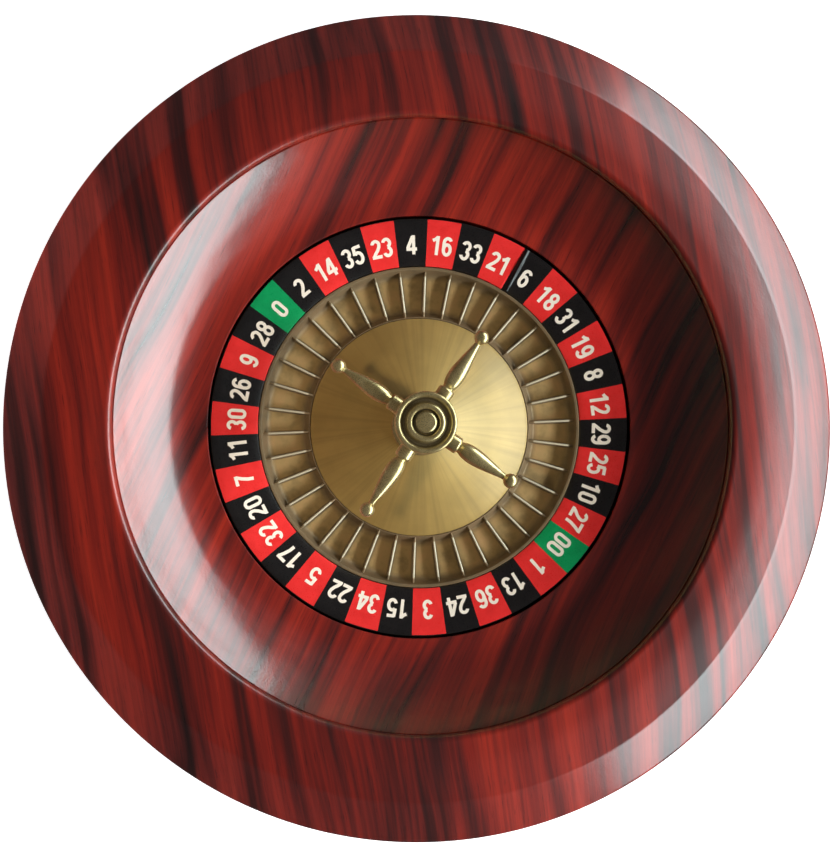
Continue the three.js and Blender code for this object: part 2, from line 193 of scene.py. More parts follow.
# ---------------------------------------------------------------- material helpers
class Nodes:
    """A short way to wire one material's node tree."""

    def __init__(self, name):
        self.material = bpy.data.materials.new(name)
        self.material.use_nodes = True
        self.tree = self.material.node_tree
        self.shader = self.tree.nodes["Principled BSDF"]
        self.place = self.tree.nodes.new("ShaderNodeTexCoord").outputs["Object"]

    def add(self, kind, inputs=None, **settings):
        node = self.tree.nodes.new(kind)
        for key, value in settings.items():
            setattr(node, key, value)
        for key, value in (inputs or {}).items():
            self.feed(node.inputs[key], value)
        return node

    def feed(self, socket, value):
        if isinstance(value, bpy.types.NodeSocket):
            self.tree.links.new(value, socket)
        else:
            socket.default_value = value

    def stretched(self, scale, turn):
        """Coordinates turned about Z, then scaled along each axis."""
        lined_up = self.add("ShaderNodeMapping", {"Vector": self.place, "Rotation": (0, 0, -turn)})
        scaled = self.add("ShaderNodeMapping", {"Vector": lined_up.outputs[0], "Scale": scale})
        return scaled.outputs[0]

    def noise(self, vector, scale=1.0, detail=2.0, roughness=0.5):
        inputs = {"Vector": vector, "Scale": scale, "Detail": detail, "Roughness": roughness}
        return self.add("ShaderNodeTexNoise", inputs).outputs["Fac"]

    def ramp(self, fac, stops):
        node = self.add("ShaderNodeValToRGB", {"Fac": fac})
        while len(node.color_ramp.elements) < len(stops):
            node.color_ramp.elements.new(1.0)
        for element, (position, colour) in zip(node.color_ramp.elements, stops):
            element.position = position
            element.color = (*colour, 1)
        return node.outputs["Color"]

    def levels(self, fac, low, high, out_low=0.0, out_high=1.0):
        """Maps low to out_low and high to out_high, and clamps outside them."""
        inputs = {0: fac, 1: low, 2: high, 3: out_low, 4: out_high}
        return self.add("ShaderNodeMapRange", inputs).outputs[0]

    def maths(self, operation, a, b=0.0):
        return self.add("ShaderNodeMath", {0: a, 1: b}, operation=operation).outputs[0]

    def times(self, a, b):
        return self.maths("MULTIPLY", a, b)

    def band(self, value, rise, fall):
        """1 between the two slopes and 0 outside them."""
        return self.times(self.levels(value, *rise), self.levels(value, *fall))

    def vector(self, x, y):
        return self.add("ShaderNodeCombineXYZ", {0: x, 1: y}).outputs[0]

    def mix(self, fac, a, b):
        """Colour a, with colour b over it by fac."""
        node = self.add("ShaderNodeMix", {0: fac, 6: a, 7: (*b, 1)}, data_type="RGBA")
        return node.outputs[2]

    def bump(self, height, distance, strength=1.0, under=None):
        inputs = {"Height": height, "Distance": distance, "Strength": strength}
        if under is not None:
            inputs["Normal"] = under
        return self.add("ShaderNodeBump", inputs).outputs[0]

    def polar(self):
        """Radius and angle about the spindle, and height, in metres and radians."""
        parts = self.add("ShaderNodeSeparateXYZ", {0: self.place})
        x, y, z = parts.outputs
        radius = self.maths("SQRT", self.maths("ADD", self.times(x, x), self.times(y, y)))
        angle = self.maths("ARCTAN2", y, x)
        return radius, angle, z

    def surface(self, **inputs):
        """Feeds the shader and gives the material. An underscore in a key stands for a space."""
        for key, value in inputs.items():
            self.feed(self.shader.inputs[key.replace("_", " ")], value)
        return self.material


def grey(value):
    return (value, value, value)


# ---------------------------------------------------------------- materials
def mahogany(name, grain_degrees, figure_seed, lacquer, satin):
    """Red mahogany veneer under lacquer, its grain lying one way across the whole piece.

    lacquer is the coat's weight, and satin its roughness.
    """
    n = Nodes(name)
    turn = math.radians(grain_degrees)
    drift = n.levels(n.noise(n.stretched((4, 7, 2), turn)), 0.3, 0.7, -0.7, 0.7)
    sway = n.vector(figure_seed, drift)

    def grain(along, across, detail, roughness):
        lengths = n.stretched((along, across, along), turn)
        swayed = n.add("ShaderNodeVectorMath", {0: lengths, 1: sway}, operation="ADD").outputs[0]
        return n.noise(swayed, 1.0, detail, roughness)

    zones = grain(1.5, 22, 2, 0.5)
    streaks = grain(3, 100, 3, 0.55)
    flames = n.maths("ADD", n.times(zones, 0.42), n.times(streaks, 0.58))
    body = n.ramp(
        flames,
        [
            (0.355, (0.018, 0.005, 0.004)),
            (0.42, (0.065, 0.007, 0.005)),
            (0.47, (0.14, 0.010, 0.006)),
            (0.53, (0.24, 0.014, 0.007)),
            (0.65, (0.37, 0.024, 0.010)),
        ],
    )
    fine = grain(9, 420, 3, 0.6)
    streaked = n.mix(n.levels(fine, 0.4, 0.75, 0.0, 0.5), body, (0.022, 0.005, 0.005))
    pores = grain(70, 1500, 2, 0.5)
    pored = n.mix(n.levels(pores, 0.62, 0.72, 0.0, 0.5), streaked, (0.010, 0.003, 0.003))
    peel = n.noise(n.place, 750, 2, 0.5)
    swell = n.noise(n.place, 60, 2, 0.5)
    coat = n.bump(peel, 0.00006, 0.6, n.bump(swell, 0.0006, 0.2))
    return n.surface(
        Base_Color=pored,
        Roughness=n.levels(fine, 0.2, 0.8, 0.45, 0.6),
        Specular_IOR_Level=0.2,
        Normal=n.bump(pores, 0.00004, 0.4, coat),
        Coat_Weight=lacquer,
        Coat_Roughness=satin,
        Coat_IOR=1.9,
        Coat_Normal=coat,
    )


def cast_brass():
    """Brass of the pockets: painted shade in the recesses, blotched on the floors, bare on the fret tops.
    """
    n = Nodes("antique_brass")
    radius, angle, height = n.polar()
    blotch = n.noise(n.place, 95, 3, 0.6)
    speck = n.noise(n.place, 900, 2, 0.6)
    floor = n.ramp(
        blotch,
        [(0.3, (0.28, 0.20, 0.09)), (0.5, (0.43, 0.30, 0.13)), (0.7, (0.50, 0.32, 0.145))],
    )
    fret_start, fret_end, fret_top = 0.069, 0.0915, FRET_TOP * MM
    pocketed = n.band(radius, (fret_start, fret_start + 0.001), (fret_end, fret_end - 0.001))
    bare = n.times(pocketed, n.levels(height, fret_top - 0.0007, fret_top - 0.0002))
    metal = n.mix(bare, floor, (0.64, 0.60, 0.45))
    # A fret stands half way between the middles of two pockets.
    steps_on = n.maths("DIVIDE", n.maths("SUBTRACT", angle, ZERO_ANGLE - TAU), STEP)
    from_fret = n.maths("ABSOLUTE", n.maths("SUBTRACT", n.maths("FRACT", steps_on), 0.5))
    aside = n.times(from_fret, n.times(radius, STEP))
    # Painted shade: the pocket floors darken beside each fret and towards both ends, where shade falls.
    beside_fret = n.times(pocketed, n.levels(aside, 0.0019, 0.0011))
    outer_end = n.levels(radius, fret_end - 0.003, fret_end)
    inner_end = n.levels(radius, fret_start + 0.0035, fret_start)
    at_end = n.maths("MAXIMUM", outer_end, inner_end)
    recess = n.maths("MAXIMUM", at_end, beside_fret)
    painted_shade = n.times(recess, n.maths("SUBTRACT", 1.0, bare))
    colour = n.mix(n.times(painted_shade, 0.65), metal, (0.10, 0.082, 0.065))
    return n.surface(
        Base_Color=colour,
        Metallic=0.35,
        Roughness=n.levels(speck, 0.3, 0.7, 0.36, 0.52),
        Normal=n.bump(speck, 0.00004, 0.3),
    )


def spun_brass():
    """Brass of the cone, brushed round the spindle, with faint dark radial streaks painted into its
    colour as reflections of the brushing.
    """
    n = Nodes("spun_brass")
    radius, angle, _ = n.polar()
    spin = n.noise(n.vector(n.times(radius, 2600), n.times(angle, 0.8)), 1.0, 3, 0.6)
    reflection_streak = n.noise(n.vector(n.times(radius, 6), n.times(angle, 14)), 1.0, 3, 0.6)
    cloud = n.noise(n.place, 38, 3, 0.6)
    base = n.ramp(cloud, [(0.3, (0.40, 0.268, 0.080)), (0.7, (0.50, 0.337, 0.104))])
    # Painted reflection: faint dark radial streaks, as the brushing would show them in the light.
    streak_painted_base = n.mix(n.levels(reflection_streak, 0.45, 0.75, 0.0, 0.5), base, (0.27, 0.178, 0.055))
    tangent = n.add("ShaderNodeTangent", direction_type="RADIAL", axis="Z").outputs[0]
    return n.surface(
        Base_Color=streak_painted_base,
        Metallic=0.5,
        Coat_Weight=1.0,
        Coat_Roughness=0.3,
        Roughness=n.levels(spin, 0.3, 0.7, 0.46, 0.56),
        Anisotropic=0.5,
        Tangent=tangent,
        Normal=n.bump(spin, 0.00003, 0.25),
    )


def polished_brass():
    """Pale brass of the turret, tarnished in patches, with painted shade in the cap's grooves."""
    n = Nodes("polished_brass")
    radius, _, height = n.polar()
    patch = n.noise(n.place, 160, 3, 0.6)
    marks = n.noise(n.place, 2400, 2, 0.6)
    colour = n.ramp(patch, [(0.3, (0.52, 0.40, 0.175)), (0.7, (0.72, 0.59, 0.30))])
    # Painted shade in two round grooves in the cap's top, each between two radii where it fades out.
    outer = n.band(radius, (0.0112, 0.0122), (0.0148, 0.0138))
    inner = n.band(radius, (0.0056, 0.0064), (0.0080, 0.0072))
    on_top = n.levels(height, 0.118, 0.119)
    groove = n.times(n.maths("MAXIMUM", outer, inner), on_top)
    return n.surface(
        Base_Color=n.mix(n.times(groove, 0.85), colour, (0.075, 0.06, 0.045)),
        Metallic=0.84,
        Roughness=n.levels(marks, 0.3, 0.7, 0.25, 0.34),
        Normal=n.bump(marks, 0.00001, 0.08),
    )


def printed(name, colour, deep, gloss=0.5):
    """One ink of the number ring, on slightly uneven plastic. It deepens in patches."""
    n = Nodes(name)
    mottle = n.noise(n.place, 130, 3, 0.6)
    grain = n.noise(n.place, 1600, 2, 0.6)
    return n.surface(
        Base_Color=n.mix(n.levels(mottle, 0.3, 0.7), (*colour, 1), deep),
        Roughness=n.levels(grain, 0.3, 0.7, 0.26, 0.34),
        Specular_IOR_Level=gloss,
        Normal=n.bump(mottle, 0.0004, 0.2, n.bump(grain, 0.00002, 0.25)),
    )


def black_board():
    """Painted fibre board under the wheel and in its head."""
    n = Nodes("black_board")
    fibre = n.noise(n.place, 420, 3, 0.7)
    cloud = n.noise(n.place, 20, 2, 0.5)
    colour = n.ramp(cloud, [(0.3, grey(0.010)), (0.7, grey(0.020))])
    return n.surface(
        Base_Color=colour,
        Roughness=n.levels(fibre, 0.3, 0.7, 0.45, 0.65),
        Normal=n.bump(fibre, 0.00012, 0.35),
    )


def machined_steel():
    """Steel of the spindle, bearings and screws, with turning marks."""
    n = Nodes("steel")
    radius, _, height = n.polar()
    tooling = n.noise(n.vector(n.times(radius, 1500), n.times(height, 1500)), 1.0, 2, 0.6)
    haze = n.noise(n.place, 90, 2, 0.5)
    return n.surface(
        Base_Color=n.ramp(haze, [(0.3, (0.50, 0.51, 0.53)), (0.7, (0.64, 0.65, 0.66))]),
        Metallic=1.0,
        Roughness=n.levels(tooling, 0.3, 0.7, 0.24, 0.38),
        Normal=n.bump(tooling, 0.00002, 0.3),
    )


def plain_white():
    """The floor and backdrop, which show as plain white."""
    n = Nodes("pale_floor")
    cloud = n.noise(n.place, 2, 2, 0.5)
    return n.surface(
        Base_Color=n.ramp(cloud, [(0.3, grey(0.86)), (0.7, grey(0.88))]),
        Roughness=0.9,
        Emission_Color=(1, 1, 1, 1),
        Emission_Strength=1.0,
    )


def moulded_rubber():
    """Dusty black rubber of the feet."""
    n = Nodes("rubber")
    grain = n.noise(n.place, 1300, 3, 0.6)
    dust = n.noise(n.place, 70, 3, 0.6)
    return n.surface(
        Base_Color=n.ramp(dust, [(0.4, grey(0.014)), (0.8, grey(0.035))]),
        Roughness=n.levels(grain, 0.3, 0.7, 0.7, 0.9),
        Normal=n.bump(grain, 0.00006, 0.5),
    )


# ---------------------------------------------------------------- sizes in mm
# The frame gives these radii and heights.
LIP_R, BOWL_R, BOWL_BOTTOM, LIP_TOP = span("outer_rim")
OPENING_R, TRACK_R, _, TRACK_TOP = span("ball_track")
HEAD_BORE, HEAD_R, HEAD_BOTTOM, _ = span("head_disc")
NUMBER_IN, NUMBER_OUT, NUMBER_BOTTOM, NUMBER_TOP = span("number_ring")
POCKET_BORE, POCKET_R, POCKET_BOTTOM, POCKET_TOP = span("pocket_ring")
CONE_TOP_R, CONE_R, CONE_BOTTOM, CONE_TOP = span("cone")
COLUMN_BOTTOM, COLUMN_TOP = span("turret_column")[2:]
BOSS_R, BOSS_BOTTOM, BOSS_TOP = span("turret_boss")[1:]
CAP_R, CAP_BOTTOM, CAP_TOP = span("turret_cap")[1:]
BOLT_BOTTOM, BOLT_TOP = span("turret_bolt")[2:]
FOOT_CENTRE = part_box("foot_1")[0].lerp(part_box("foot_1")[1], 0.5)  # in metres

GAP = 0.3  # between glued or pressed parts
NUMBER_T = 1.5  # thickness of the number ring
RING_RISE = NUMBER_TOP - NUMBER_T - NUMBER_BOTTOM  # its rise towards its outer edge
FRET_TOP = POCKET_TOP - 2.4
POCKET_FLOOR = POCKET_BOTTOM + 3.7
BOLT_BORE = 3.3
ARM_Z = (BOSS_BOTTOM + BOSS_TOP) / 2 + 1
# Head radius, shank radius and length of the countersunk screws.
SCREW_SIZES = {
    "rim_screw": (4.5, 2.2, 30),
    "flange_screw": (3.6, 1.8, 10),
    "foot_screw": (3.6, 1.9, 13),
}


# ---------------------------------------------------------------- bowl
def add_rim(look):
    """The broad rim: a bevel, a swelling top, a round lip that is undercut, and the seat of the track."""
    shoulder = (BOWL_R - 27, LIP_TOP - 10)
    edge = LIP_TOP - 35.5
    lip_round = 4
    foot = eased(
        [(TRACK_R + GAP, BOWL_BOTTOM), (BOWL_R - 7, BOWL_BOTTOM, 2), (BOWL_R - 1.2, BOWL_BOTTOM + 7, 7)]
    )
    bevel = spline(
        [(BOWL_R - 1.7, edge + 6.45), (BOWL_R - 8, edge + 11.3), (BOWL_R - 14.5, edge + 16.2), shoulder],
        steps=5,
    )
    top = spline(
        [
            shoulder,
            (BOWL_R - 39.5, LIP_TOP - 5.6),
            (BOWL_R - 51.5, LIP_TOP - 2),
            (LIP_R + lip_round, LIP_TOP),
        ],
        steps=8,
    )
    lip = arc((LIP_R + lip_round, LIP_TOP - lip_round), lip_round, 90, 180, 10)
    outline = [
        *foot[:-1],
        (BOWL_R, BOWL_BOTTOM + 15),
        (BOWL_R, edge - 4),
        (BOWL_R - 0.4, edge + 1),
        (BOWL_R - 1.2, edge + 5.3),
        *bevel,
        *top[1:],
        *lip[1:],
        (LIP_R + 0.3, LIP_TOP - 5.5),
        (LIP_R + 1.2, TRACK_TOP + GAP),
        (TRACK_R + GAP, TRACK_TOP + GAP),
    ]
    turned_piece("rim_wood", outline, LARGE, "bowl", look, ["outer_rim"])


def add_track(look):
    """The bowl under the lip: the ball track, then the lower slope to a brink round the wheel head."""
    brink = OPENING_R - 0.9
    slope = [(152.5, 57.2), (146.5, 53.8), (140, 51), (134, 49.9), (brink + 0.6, 49.6)]
    track = spline([(LIP_R - 0.3, TRACK_TOP - 0.3), (LIP_R - 9, 69.8), (161, 62.6), *slope], steps=6)
    outline = [
        (OPENING_R, BOWL_BOTTOM),
        (TRACK_R, BOWL_BOTTOM),
        (TRACK_R, TRACK_TOP),
        (LIP_R - 0.1, TRACK_TOP),
        *track,
        (brink + 0.15, 49.4),
        (brink, 49),
        (brink, 45),
        (OPENING_R, 44),
    ]
    replaced = ["ball_track"]
    turned_piece("bowl_wood", outline, LARGE, "bowl", look, replaced, sharp=12)


def add_feet(rubber, steel):
    """Four rubber feet, each with a hollow that hides the head of its screw."""
    hollow, thickness = 2.6, 6
    outline = eased(
        [
            (5, 0, 0.4),
            (12.4, 0, 1),
            (14, 1.6, 1),
            (13.4, thickness, 0.3),
            (2.2, thickness),
            (3.9, hollow),
            (5, hollow),
        ]
    )
    for i in range(4):
        turn = Matrix.Rotation(i * TAU / 4, 4, "Z")
        place = turn @ Matrix.Translation((FOOT_CENTRE.x, FOOT_CENTRE.y, 0))
        bm = bmesh.new()
        turned(bm, outline, SMALL * 2)
        placed(bm, bm.verts, place)
        piece(f"rubber_foot_{i + 1}", bm, "bowl", rubber, [f"foot_{i + 1}"])
        screw_place = place @ Matrix.Translation((0, 0, hollow * MM))
        add_screw(f"foot_screw_{i + 1}", SCREW_SIZES["foot_screw"], screw_place, steel)


def add_screw(node, sizes, place, look):
    """A countersunk screw with a cross recess in its flat head, in place of the CAD screw."""
    head, shank, length = sizes
    taper = head - shank
    outline = eased([(0, 0), (head, 0, 0.25), (shank, taper), (shank, length), (0, length)], closed=False)
    bm = bmesh.new()
    turned(bm, outline, SMALL)
    bmesh.ops.recalc_face_normals(bm, faces=bm.faces)
    blank = new_object("screw_blank", finished_mesh("screw", bm))
    cross = new_object("screw_cross", cross_mesh(head))
    carve = blank.modifiers.new("cross", "BOOLEAN")
    carve.operation = "DIFFERENCE"
    carve.solver = "EXACT"
    carve.object = cross
    bpy.context.view_layer.update()
    carved = bmesh.new()
    carved.from_object(blank, bpy.context.evaluated_depsgraph_get())
    for obj in (blank, cross):
        bpy.data.objects.remove(obj)
    placed(carved, carved.verts, place)
    piece(node + "_fine", carved, "bowl", look, [node])


def cross_mesh(head):
    """The cutter for a cross recess: a plus-shaped plug that narrows with depth."""
    arm, width, depth = 0.62 * head, 0.17 * head, 0.5 * head
    below_head, taper = 0.2, 0.35
    quarter = [Vector(corner) for corner in ((arm, -width, 0), (arm, width, 0), (width, width, 0))]
    plan = [Matrix.Rotation(k * TAU / 4, 3, "Z") @ corner for k in range(4) for corner in quarter]
    bm = bmesh.new()
    mouth = [bm.verts.new((v.x * MM, v.y * MM, -below_head * MM)) for v in plan]
    bottom = [bm.verts.new((v.x * taper * MM, v.y * taper * MM, depth * MM)) for v in plan]
    bm.faces.new(mouth)
    bm.faces.new(bottom)
    for k in range(len(plan)):
        bm.faces.new([mouth[k - 1], mouth[k], bottom[k], bottom[k - 1]])
    bmesh.ops.recalc_face_normals(bm, faces=bm.faces)
    return finished_mesh("cross", bm)


def add_board_screws(steel):
    """The screws that hold the base board to the rim and the spindle's flange to the board."""
    for name, count, circle_r, start in (("rim_screw", 6, 205, 0), ("flange_screw", 4, 23, TAU / 8)):
        for i in range(count):
            turn = Matrix.Rotation(start + i * TAU / count, 4, "Z")
            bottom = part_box(f"{name}_{i + 1}")[0].z
            place = turn @ Matrix.Translation((circle_r * MM, 0, bottom))
            add_screw(f"{name}_{i + 1}", SCREW_SIZES[name], place, steel)


# ---------------------------------------------------------------- wheel head
def add_head_disc(look):
    """The disc of the wheel head, with a slope for the number ring and a step for the pocket ring."""
    slope_top = NUMBER_TOP - NUMBER_T - GAP
    slope_foot = slope_top - RING_RISE
    outline = eased(
        [
            (HEAD_BORE, HEAD_BOTTOM),
            (HEAD_R, HEAD_BOTTOM, 1),
            (HEAD_R, slope_top, 0.3),
            (NUMBER_OUT, slope_top),
            (NUMBER_IN, slope_foot),
            (NUMBER_IN, POCKET_BOTTOM - GAP),
            (HEAD_BORE, POCKET_BOTTOM - GAP),
        ]
    )
    turned_piece("head_board", outline, LARGE, "wheel_head", look, ["head_disc"])


def hump(distance, width):
    """1 at no distance, and nearly 0 from twice the width on."""
    return math.exp(-((distance / width) ** 2))


def turned_from(start, angle):
    """The angle from start, between half a turn back and half a turn on."""
    return (angle - start + math.pi) % TAU - math.pi


def ring_height(r, angle):
    """Height in mm of the number ring's face, with a narrow fold in the print beside number 6.

    The fold is a ridge, highest half way along, with a crease at its foot on the field's edge.
    """
    inward = (NUMBER_OUT - r) / (NUMBER_OUT - NUMBER_IN)
    crease = ZERO_ANGLE - (NUMBERS.index("6") - 0.5) * STEP
    ridge = crease - math.radians(0.7) - inward * math.radians(1.1)
    ridge_height = 0.7 + 0.95 * hump(r - 113, 8)
    lift = ridge_height * hump(turned_from(ridge, angle), math.radians(0.6))
    dip = 0.35 * hump(turned_from(crease, angle), math.radians(0.3))
    return NUMBER_TOP - RING_RISE * inward + lift - dip


def field_colour(number):
    """0 for green, 1 for red and 2 for black; red and black take turns round the ring."""
    if number in ("0", "00"):
        return 0
    return 1 + NUMBERS.index(number) % 2


def add_number_ring(inks):
    """The printed ring, finer where it folds. Each field has the material of its ink."""
    angles, colours = [], []
    for place, number in enumerate(NUMBERS):
        count = 60 if number in ("21", "6") else 12
        angles += [ZERO_ANGLE + STEP / 2 - (place + k / count) * STEP for k in range(count)]
        colours += [field_colour(number)] * count
    ease, chamfer, bands = 0.35, 0.1, 6
    face_width = NUMBER_OUT - NUMBER_IN - 2 * ease
    face = [NUMBER_IN + ease + face_width * i / bands for i in range(bands + 1)]
    section = [
        (NUMBER_OUT, -ease),
        (NUMBER_OUT - chamfer, -chamfer),
        *[(r, 0) for r in reversed(face)],
        (NUMBER_IN + chamfer, -chamfer),
        (NUMBER_IN, -ease),
    ]
    bm = bmesh.new()
    underside = ((NUMBER_IN, NUMBER_BOTTOM), (NUMBER_OUT, NUMBER_BOTTOM + RING_RISE))
    rings = [[bm.verts.new(around(r, a, z)) for a in angles] for r, z in underside]
    for r, drop in section:
        rings.append([bm.verts.new(around(r, a, ring_height(r, a) + drop)) for a in angles])
    for low, high in zip(rings, rings[1:] + rings[:1]):
        for k, colour in enumerate(colours):
            n = (k + 1) % len(colours)
            made = bm.faces.new([low[k], low[n], high[n], high[k]])
            made.material_index = colour
    piece("number_fields", bm, "wheel_head", inks, ["number_ring"], sharp=40)


# ---------------------------------------------------------------- numerals
STROKE = 1.95  # width of a stroke
DIGIT_W = 6.0
DIGIT_H = 11.3
SIDE = (DIGIT_W - STROKE) / 2  # from the middle to the centre line at the side
TOP = (DIGIT_H - STROKE) / 2  # from the middle to the centre line at the top


def digit_strokes(digit):
    """Centre lines of a digit's strokes about its middle, in mm."""
    if digit == "0":
        upper = oval(0, TOP - SIDE, SIDE, SIDE, 0, 180)
        lower = oval(0, SIDE - TOP, SIDE, SIDE, 180, 360)
        return [upper + lower + [(SIDE, TOP - SIDE)]]
    if digit == "1":
        stem = [(0.7, -DIGIT_H / 2), (0.7, DIGIT_H / 2)]
        return [stem, [(-2.3, 2.7), (-0.8, 3.5), (0.6, 5.0)]]
    if digit == "2":
        neck = [(1.75, 1.2), (0.6, -0.9), (-1.1, -2.9), (-2.0, -4.4)]
        return [oval(0, 2.7, SIDE, SIDE, 172, 0) + neck, [(-3.0, -TOP), (3.0, -TOP)]]
    if digit == "3":
        upper = oval(-0.1, 2.6, 2.0, 2.25, 165, -82)
        lower = oval(-0.1, -2.45, SIDE, 2.4, 84, -165)
        return [upper, lower]
    if digit == "4":
        stem = [(1.2, -DIGIT_H / 2), (1.2, DIGIT_H / 2)]
        return [stem, [(0.7, 5.0), (-2.4, -1.9)], [(-3.2, -2.5), (3.2, -2.5)]]
    if digit == "5":
        bowl = oval(-0.1, -1.8, 2.25, 3.05, 138, -160)
        return [[(-1.7, TOP), (2.7, TOP)], [(-1.5, 5.2), (-2.0, 0.2)], bowl]
    if digit == "6":
        back = oval(0.1, 2.3, SIDE + 0.1, 2.55, 25, 180) + [(-SIDE, -1.9)]
        return [oval(0, -1.85, SIDE, 3.0), back]
    if digit == "7":
        leg = [(2.2, 4.6), (0.7, 1.4), (-0.5, -2.2), (-0.9, -DIGIT_H / 2)]
        return [[(-3.0, TOP), (3.0, TOP)], leg]
    if digit == "8":
        return [oval(0, 2.6, 1.9, 2.25), oval(0, -2.35, SIDE, 2.5)]
    # 9 is 6 turned half round.
    return [[(-x, -y) for x, y in stroke] for stroke in digit_strokes("6")]


def thick_line(line, width):
    """Left and right edges of a stroke with square ends."""
    points = [Vector(p) for p in line]
    edges = []
    for i, here in enumerate(points):
        before = points[max(i - 1, 0)]
        after = points[min(i + 1, len(points) - 1)]
        side = (after - before).normalized().orthogonal()
        edges.append((here + side * width / 2, here - side * width / 2))
    return edges


def add_stroke(bm, edges, lift):
    """A thin solid on the ring between pairs of points in mm, its top raised by lift."""
    sunk = -0.1
    rows = []
    for pair in edges:
        row = []
        for p in pair:
            z = ring_height(p.length, math.atan2(p.y, p.x))
            row += [bm.verts.new((p.x * MM, p.y * MM, (z + h) * MM)) for h in (lift, sunk)]
        rows.append(row)
    for a, b in zip(rows, rows[1:]):
        for p, q in ((0, 2), (2, 3), (3, 1), (1, 0)):
            bm.faces.new([a[p], a[q], b[q], b[p]])
    for end in (rows[0], rows[-1]):
        bm.faces.new([end[0], end[2], end[3], end[1]])


def add_numerals(look):
    """Every number, laid on the ring with its top outwards.

    Each stroke of a number lies a little higher than the last, so that crossing strokes never
    share a face.
    """
    pitch = 6.7
    middle = (NUMBER_IN + NUMBER_OUT) / 2 - 1.2
    bm = bmesh.new()
    for place, number in enumerate(NUMBERS):
        angle = ZERO_ANGLE - place * STEP
        out = Vector((math.cos(angle), math.sin(angle)))
        right = Vector((math.sin(angle), -math.cos(angle)))
        layer = 0
        for i, digit in enumerate(number):
            shift = pitch * (i - (len(number) - 1) / 2)
            for stroke in digit_strokes(digit):
                layer += 1
                edges = [
                    [out * (middle + p.y) + right * (p.x + shift) for p in pair]
                    for pair in thick_line(stroke, STROKE)
                ]
                add_stroke(bm, edges, 0.05 + 0.006 * layer)
    piece("number_print", bm, "wheel_head", look, sharp=40)


# ---------------------------------------------------------------- brass of the wheel head
def add_pocket_ring(look):
    """The pockets as one trough round the cone, with a fret between each two of them."""
    inner_edge = FRET_TOP + 0.2
    outline = eased(
        [
            (POCKET_BORE, POCKET_BOTTOM),
            (POCKET_R, POCKET_BOTTOM),
            (POCKET_R, POCKET_TOP, 0.6),
            (POCKET_R - 1.9, POCKET_TOP - 0.3, 0.5),
            (POCKET_R - 4.8, POCKET_FLOOR, 5),
            (80, POCKET_FLOOR - 0.35, 30),
            (69, POCKET_FLOOR, 2.5),
            (66.3, inner_edge, 0.4),
            (CONE_R + GAP, inner_edge, 0.2),
            (CONE_R + GAP, CONE_BOTTOM - GAP),
            (POCKET_BORE, CONE_BOTTOM - GAP),
        ],
        steps=6,
    )
    bm = bmesh.new()
    turned(bm, outline, LARGE)
    for i in range(POCKETS):
        turn = Matrix.Rotation(ZERO_ANGLE + (i + 0.5) * STEP, 4, "Z")
        placed(bm, fret(bm), turn)
    piece("pockets", bm, "wheel_head", look, ["pocket_ring"], sharp=40)


def fret(bm):
    """One fret along +X: a thin wall with a rounded top, rounded down at both ends."""
    foot = POCKET_FLOOR - 0.6
    half = 0.72
    foot_half = half + 0.28
    start, end = CONE_R + 0.5, POCKET_R - 1.6
    # Distances in from an end, and how far the top is down there.
    falls = [(0, 1.2), (0.15, 0.54), (0.5, 0.168), (1.1, 0)]
    stations = [(start + d, down) for d, down in falls]
    stations += [(start + (end - start) * t, 0) for t in (0.3, 0.5, 0.7)]
    stations += [(end - d, down) for d, down in reversed(falls)]
    crown = arc((0, FRET_TOP - half), half, 0, 180, 8)
    rows = []
    for x, down in stations:
        section = [(foot_half, foot), *[(y, z - down) for y, z in crown], (-foot_half, foot)]
        rows.append([bm.verts.new((x * MM, y * MM, z * MM)) for y, z in section])
    for a, b in zip(rows, rows[1:]):
        for k in range(len(a)):
            n = (k + 1) % len(a)
            bm.faces.new([a[k], a[n], b[n], b[k]])
    bm.faces.new(rows[0])
    bm.faces.new(rows[-1])
    return [vert for row in rows for vert in row]


def add_cone(look):
    """The cone as a thin shell with a low rim at its foot."""
    wall = 1.5
    edge = CONE_BOTTOM + 2.2
    shoulder = (CONE_R - 0.9, edge + 0.35)
    rise = spline([shoulder, (50, 48.6), (33, 56.6), (CONE_TOP_R + 0.8, CONE_TOP)], steps=10)
    rim = eased(
        [(CONE_R - wall, CONE_BOTTOM), (CONE_R, CONE_BOTTOM), (CONE_R, edge, 0.5), shoulder],
        closed=False,
    )
    inner = [(r, z - wall) for r, z in rise[::5]]
    mouth = [(CONE_TOP_R, CONE_TOP), (CONE_TOP_R, CONE_TOP - wall)]
    outline = [*rim[:-1], *rise, *mouth, *inner[::-1][1:]]
    turned_piece("cone_shell", outline, LARGE, "wheel_head", look, ["cone"])


def turret_piece(name, outline, look, node):
    turned_piece(name, outline, MEDIUM, "wheel_head", look, [node])


